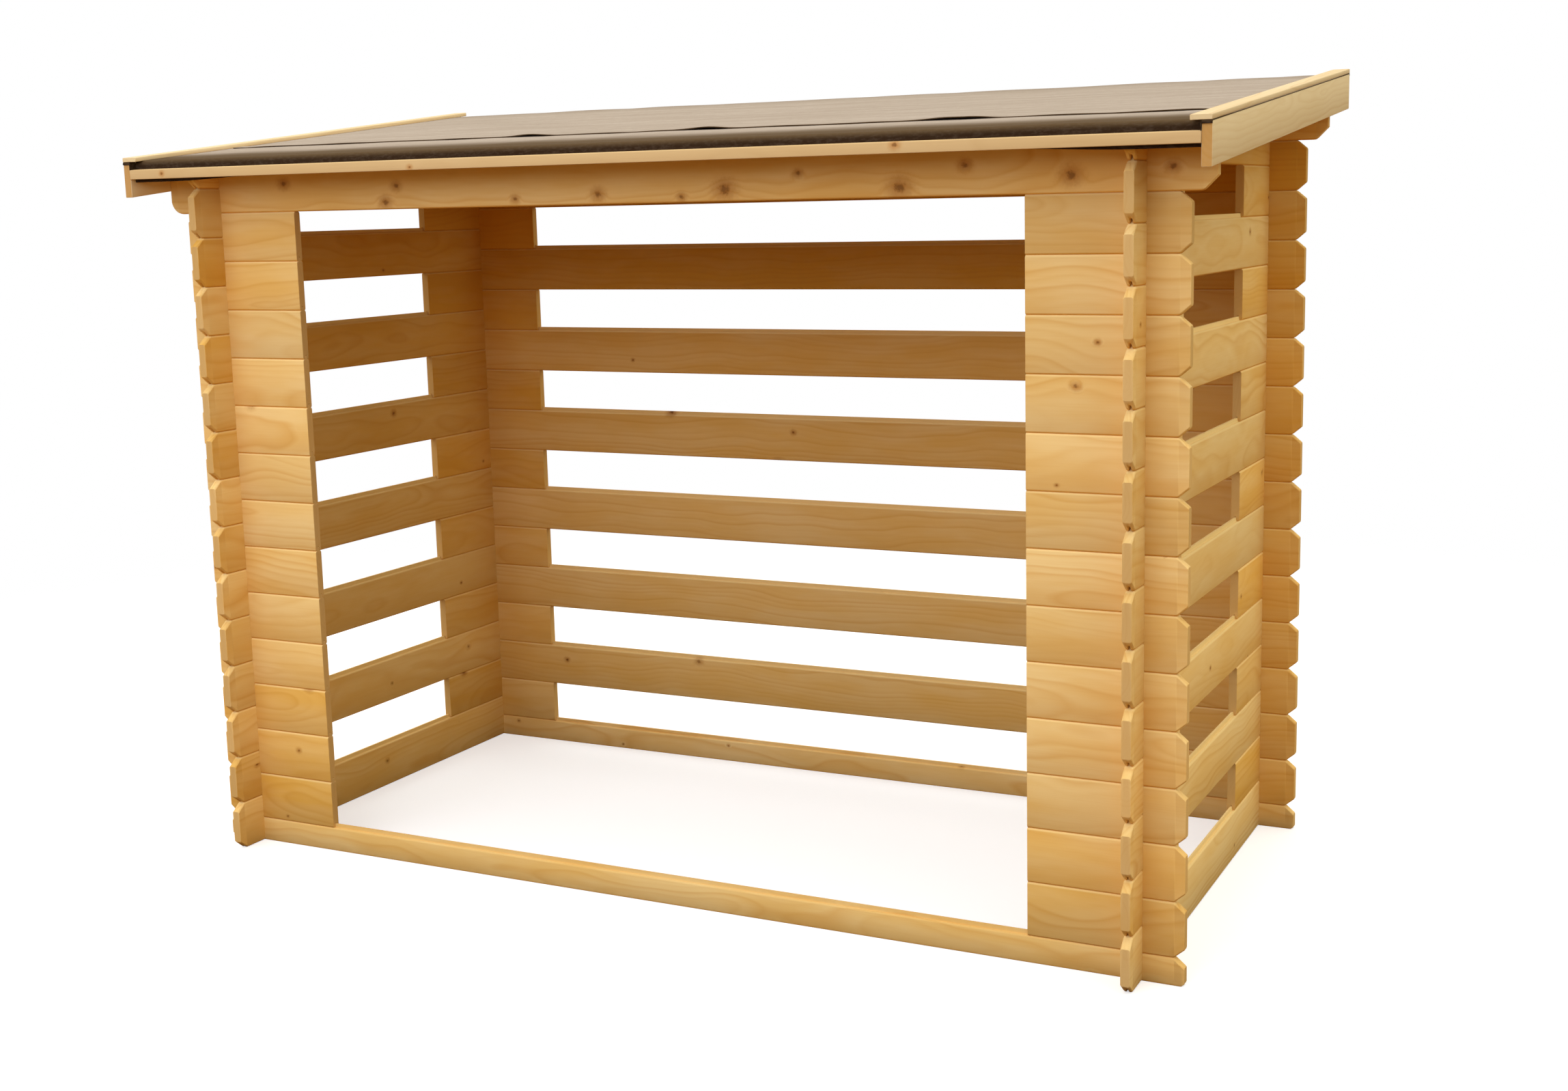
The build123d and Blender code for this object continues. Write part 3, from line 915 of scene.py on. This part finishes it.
# %% A sheet as a closed skin
def skin(outer, inner, fold):
    """Vertices, faces and fold of a closed shell between two grids of points of the same shape."""
    rows, columns = outer.shape[:2]
    number = np.arange(rows * columns).reshape(rows, columns)
    below = number + rows * columns
    top = np.stack((number[:-1, :-1], number[1:, :-1], number[1:, 1:], number[:-1, 1:]), axis=-1)
    foot = np.stack((below[:-1, :-1], below[:-1, 1:], below[1:, 1:], below[1:, :-1]), axis=-1)
    rim = np.concatenate((number[0, :-1], number[:-1, -1], number[-1, :0:-1], number[:0:-1, 0]))
    rim_below = rim + rows * columns
    after, after_below = np.roll(rim, -1), np.roll(rim_below, -1)
    walls = np.stack((rim, after, after_below, rim_below), axis=-1)
    faces = np.concatenate((top.reshape(-1, 4), foot.reshape(-1, 4), walls))
    points = np.concatenate((outer.reshape(-1, 3), inner.reshape(-1, 3)))
    return points, faces, np.concatenate((fold.ravel(), np.full(fold.size, 0.8)))


def felt_piece(name, shells, node):
    """Joins closed shells into one piece of felt."""
    points, faces, folds = zip(*shells)
    starts = np.cumsum([0] + [len(part) for part in points])
    joined = np.concatenate([part + start for part, start in zip(faces, starts)])
    mesh = bpy.data.meshes.new(name)
    mesh.from_pydata(np.concatenate(points), [], joined.tolist())
    fold = mesh.attributes.new("fold", "FLOAT", "POINT")
    fold.data.foreach_set("value", np.concatenate(folds))
    finish_piece(name, mesh, roof_felt, "roofing_felt", node)
    print(name, len(joined), "faces")


# %% The two sheets
felt_low, felt_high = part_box("felt_lower_sheet")
upper_low, upper_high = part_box("felt_upper_sheet")
lap_line, lap_end = upper_low[Y], felt_high[Y]
strip_inner_x = strip_high[X] - strip_width
buckles = (-0.31, 0.12, 0.62, 0.68)  # places along the lap where its edge lifts
lap_skew = -0.028  # the upper sheet isn't laid quite parallel to the eave
deck_edge_x = deck_high[X]
felt_nose = deck_nose + felt_thickness
felt_lip, lip_round = 0.004, 0.004
grid_step = lap_ramp = 0.012
calm_width = 0.06  # beside the strips, which press the felt flat
# The felt hangs out below the batten's ends, and its dark foot there also paints the shade of the gap under
# the batten
sag, sag_start, sag_width = 0.0075, 0.80, 0.26  # the felt hangs out below the batten's ends


def along_roof(line, x, bulge, lift=0.0):
    """Outer and inner grids of a sheet: rows across the roof, columns along the fold line.

    Each point is pushed out square to the line by the bulge. The inner grid lies a felt's thickness behind.
    """
    y, height, fold = line
    slope_y, slope_h = np.gradient(y, axis=-1), np.gradient(height, axis=-1)
    length = np.hypot(slope_y, slope_h)
    facing = 1 if y[..., -1].mean() > y[..., 0].mean() else -1
    out_y, out_h = -facing * slope_h / length, facing * slope_y / length
    shape = (x.size, y.shape[-1])
    push = np.broadcast_to(bulge, shape)
    grids = []
    for depth in (0.0, felt_thickness):
        grid_y = y + out_y * (push - depth)
        grid_h = height + out_h * (push - depth) + lift
        grid_x = np.broadcast_to(x[:, None], shape)
        grids.append(np.stack((grid_x, grid_y, deck_height(grid_y) + grid_h), axis=-1)[::facing])
    return grids[0], grids[1], np.broadcast_to(fold, shape)[::facing]


def lips(edge, far, steps):
    """The felt over both barge boards, with its short fold over their ends."""
    made = []
    for side in (-1, 1):
        ends = np.sort(side * np.array([deck_edge_x, barge_high[X]]))
        line = fold_line(edge, deck_thickness - felt_lip, deck_thickness - felt_lip, lip_round, far, steps)
        made.append(skin(*along_roof(line, np.linspace(*ends, 5), 0.0)))
    return made


def turned_ends(edge, far):
    """The sheet's two ends above a batten, turned outwards along the barge boards as far as these go."""
    made = []
    reach = np.sort([edge, edge + np.sign(far - edge) * batten_thickness])
    for side in (-1, 1):
        y, height = np.meshgrid(reach[::-side], [batten_top, felt_top - 0.0003], indexing="ij")
        places = [side * (deck_edge_x - depth) + 0 * y for depth in (felt_thickness, 0.0002)]
        grids = [np.stack((x, y, deck_height(y) + height), axis=-1) for x in places]
        made.append(skin(*grids, np.full(y.shape, 0.85)))
    return made


lower_x = np.linspace(-deck_edge_x, deck_edge_x, round(2 * deck_edge_x / grid_step) + 1)
line = fold_line(felt_low[Y] + batten_thickness, batten_foot, batten_top, felt_nose, lap_end, 24)
calm = smooth_step((strip_inner_x - np.abs(lower_x)) / calm_width)[:, None]
bulge = calm * np.abs(swell(lower_x[:, None], line[0], 0.0007, 0.35, 3))
heights = np.repeat(line[1][None], lower_x.size, axis=0)
heights[:, 0] -= sag * smooth_step((np.abs(lower_x) - sag_start) / sag_width)
shells = [skin(*along_roof((line[0], heights, line[2]), lower_x, bulge))] + lips(felt_low[Y], lap_end, 24)
shells += turned_ends(felt_low[Y], lap_end)
felt_piece("lower_felt", shells, "felt_lower_sheet")

# %% [markdown]
# ## The upper sheet and its lap
#
# The upper sheet starts on top of the lower one. On the real roof its edge isn't quite parallel to the
# eave, and it lifts in a few shallow buckles that throw the dark line seen along the lap. So the grid's
# first column follows a skewed, slightly wavy line, and bell curves raise it, most at the edge and less up
# the roof.

# %% The upper sheet and its lap
def bumps(x, places, size, reach):
    """Shallow buckles: a bell curve of the given size at each place."""
    return size * np.exp(-(((x[:, None] - np.array(places)) / reach) ** 2)).sum(axis=1)


upper_x = np.unique(np.concatenate((lower_x, [-strip_inner_x - 0.0005, strip_inner_x + 0.0005])))
lapped = smooth_step((strip_inner_x - np.abs(upper_x)) / lap_ramp)
starts = lap_end + (lap_line - lap_end + lap_skew * upper_x) * lapped
starts += lapped * swell(upper_x, 0 * upper_x, 0.0016, 0.5, 11)
back_edge = upper_high[Y] - batten_thickness
back_line = fold_line(back_edge, batten_foot, batten_top, felt_nose, lap_line, 60, 1.8, 0.15)
share = (back_line[0] - lap_line) / (back_line[0].max() - lap_line)
y = back_line[0] + (starts[:, None] - lap_line) * (1 - share)
from_lap = y - starts[:, None]
lift = bumps(upper_x, buckles, 0.0030, 0.042) + np.abs(swell(upper_x, 0 * upper_x, 0.0007, 0.3, 5))
over_lower = felt_thickness * plumb * smooth_step((lap_end + lap_ramp - y) / lap_ramp) * lapped[:, None]
raised = over_lower + (lapped * lift)[:, None] * np.exp(-((from_lap / 0.07) ** 2))
calm = smooth_step((strip_inner_x - np.abs(upper_x)) / calm_width)[:, None]
bulge = calm * np.abs(swell(upper_x[:, None], y, 0.0011, 0.4, 8))
edge_fold = np.maximum(back_line[2], 0.5 * np.exp(-from_lap / 0.0015) * lapped[:, None])
shells = [skin(*along_roof((y, back_line[1], edge_fold), upper_x, bulge, raised))]
shells += lips(upper_high[Y], lap_end, 44) + turned_ends(upper_high[Y], lap_end)
felt_piece("upper_felt", shells, "felt_upper_sheet")

# %% [markdown]
# ## The studio
#
# The picture has a white ground and a soft light that differs by direction: strongest from above and from
# both sides, weaker from the front and the back. A single grey world would light every wall alike, so the
# world has a colour for each direction. It is plain white only for the camera and for reflections.

# %% World
studio = Finish("studio", "worlds")
bpy.context.scene.world = studio.material
to_right, to_back, to_top = studio.split(studio.add("ShaderNodeTexCoord", output="Generated"))
front_light, back_light = (0.235, 0.22, 0.18), (0.31, 0.30, 0.23)
left_light, right_light = (0.73, 0.69, 0.55), (0.70, 0.66, 0.50)
top_light, low_light = (0.95, 0.97, 0.93), (0.06, 0.045, 0.03)
front_or_back = studio.mix(studio.ramp(to_back, -0.1, 0.1), front_light, back_light)
left_or_right = studio.mix(studio.ramp(to_right, -0.1, 0.1), left_light, right_light)
sideways = studio.ramp(to_right.math("ABSOLUTE") - to_back.math("ABSOLUTE"), -0.15, 0.15)
horizon = studio.mix(sideways, front_or_back, left_or_right)
sky = studio.mix(studio.ramp(to_top, 0.5, 0.7), horizon, top_light)
sky = studio.mix(studio.ramp(to_top, -0.1, 0.0), low_light, sky)
studio.feed(studio.shader.inputs["Color"], sky)
studio.feed(studio.shader.inputs["Strength"], 1.6)
rays = studio.add("ShaderNodeLightPath", output="Is Camera Ray")
seen = rays.math("MAXIMUM", rays.output("Is Glossy Ray")).math("MAXIMUM", rays.output("Is Transmission Ray"))
white = studio.add("ShaderNodeBackground", {}, {"Color": (1.0, 1.0, 1.0), "Strength": 1.0})
studio.show(studio.add("ShaderNodeMixShader", {}, [seen, Value(studio, studio.shader.outputs[0]), white]))


# %% [markdown]
# ## The floor
#
# The store stands on a pale floor that keeps its shadow. A plain white floor would throw cold light up at
# the wood, where ground in a garden throws little and warm light. So the camera sees the pale floor, and
# the wood gets the light of the warm one, painted darker near the store as a shadow.

# %% Floor
def floor_disc(radius):
    """A flat disc on the ground: three rings of points round the middle of the store."""
    turns = np.linspace(0, 2 * pi, 97)[:-1]
    rings = np.array([0.3, 0.6, 1.0]) * radius
    x, y = rings[:, None] * np.cos(turns), rings[:, None] * np.sin(turns)
    points = np.concatenate(([[0, 0, 0]], np.stack((x.ravel(), y.ravel(), np.zeros(x.size)), axis=-1)))
    number = 1 + np.arange(x.size).reshape(x.shape)
    beside = np.roll(number, -1, axis=1)
    quads = np.stack((number[:-1], number[1:], beside[1:], beside[:-1]), axis=-1).reshape(-1, 4)
    middle = np.stack((np.zeros(turns.size, int), number[0], beside[0]), axis=-1)
    mesh = bpy.data.meshes.new("floor")
    mesh.from_pydata(points, [], middle.tolist() + quads.tolist())
    disc = bpy.data.objects.new("floor", mesh)
    bpy.context.scene.collection.objects.link(disc)
    return disc


# Colours the floor throws back: painted darker in a shadow round the store, and warm further out
painted_shadow_bounce, far_bounce = (0.14, 0.062, 0.004), (0.36, 0.17, 0.018)  # for all but the camera
painted_shadow_box = (1.0, 0.5, 0.0)  # the near ground's half width and half depth
floor_radius, floor_fade = 5.0, (2.4, 4.2)  # metres from the middle


def floor_material():
    """Pale and matt. The camera sees it lighter, and its rim fades into the white behind it.

    What it throws back at the store is dimmer near the store's foot: a painted shadow of the store on the
    ground.
    """
    ground = Finish("studio_floor")
    place = ground.add("ShaderNodeTexCoord", output="Object")
    away = ground.vector("LENGTH", place, output="Value")
    outside = ground.vector("SUBTRACT", ground.vector("ABSOLUTE", place), painted_shadow_box)
    beyond = ground.vector("MAXIMUM", outside, (0.0, 0.0, 0.0))
    outside_painted_shadow = ground.ramp(ground.vector("LENGTH", beyond, output="Value"), 0.0, 1.3)
    bounce = ground.mix(outside_painted_shadow, painted_shadow_bounce, far_bounce)
    seen = ground.add("ShaderNodeLightPath", output="Is Camera Ray")
    ground.set(
        Base_Color=ground.mix(seen, bounce, (0.64, 0.64, 0.64)),
        Roughness=0.9,
        Specular_IOR_Level=0.0,
        Emission_Color=ground.mix(seen, (0.0, 0.0, 0.0), (0.56, 0.56, 0.56)),
        Emission_Strength=1.0,
    )
    clear = ground.add("ShaderNodeBsdfTransparent")
    matt = Value(ground, ground.shader.outputs[0])
    ground.show(ground.add("ShaderNodeMixShader", {}, [ground.ramp(away, *floor_fade), matt, clear]))
    return ground.material


floor = floor_disc(floor_radius)
floor.data.materials.append(floor_material())


# %% [markdown]
# ## The lamps
#
# Two large, soft lamps in front of the store give the log ends their shape and put the shade of the eave on
# the header. Small lamps would draw hard edges, which the picture doesn't have.

# %% Lamps
from mathutils import Vector

lamp_size = 2.6
under_the_eave = (0.2, 0, 1.8)  # where both lamps point


def soft_lamp(name, place, power, colour):
    """A large square lamp, turned to a point of the store."""
    data = bpy.data.lights.new(name, "AREA")
    data.shape = "SQUARE"
    data.size = lamp_size
    data.energy = power
    data.color = colour
    lamp = bpy.data.objects.new(name, data)
    lamp.location = place
    lamp.rotation_euler = (Vector(under_the_eave) - Vector(place)).to_track_quat("-Z", "Y").to_euler()
    bpy.context.scene.collection.objects.link(lamp)


soft_lamp("left_softbox", (-2.2, -4.6, 3.4), 41, (0.98, 1.0, 1.2))
soft_lamp("front_softbox", (0.1, -4.8, 3.1), 57, (0.98, 1.0, 1.18))
bpy.context.scene.view_settings.view_transform = "Standard"
print("studio ready")

# %% [markdown]
# ## Closing
#
# Every imported node now has a piece that stands for it, and what is still carried over is printed.

# %% Anything still carried over
print("carried over:", [node for node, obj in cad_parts.items() if not obj.hide_render])

# %% Bringing the view layer up to date
bpy.context.view_layer.update()
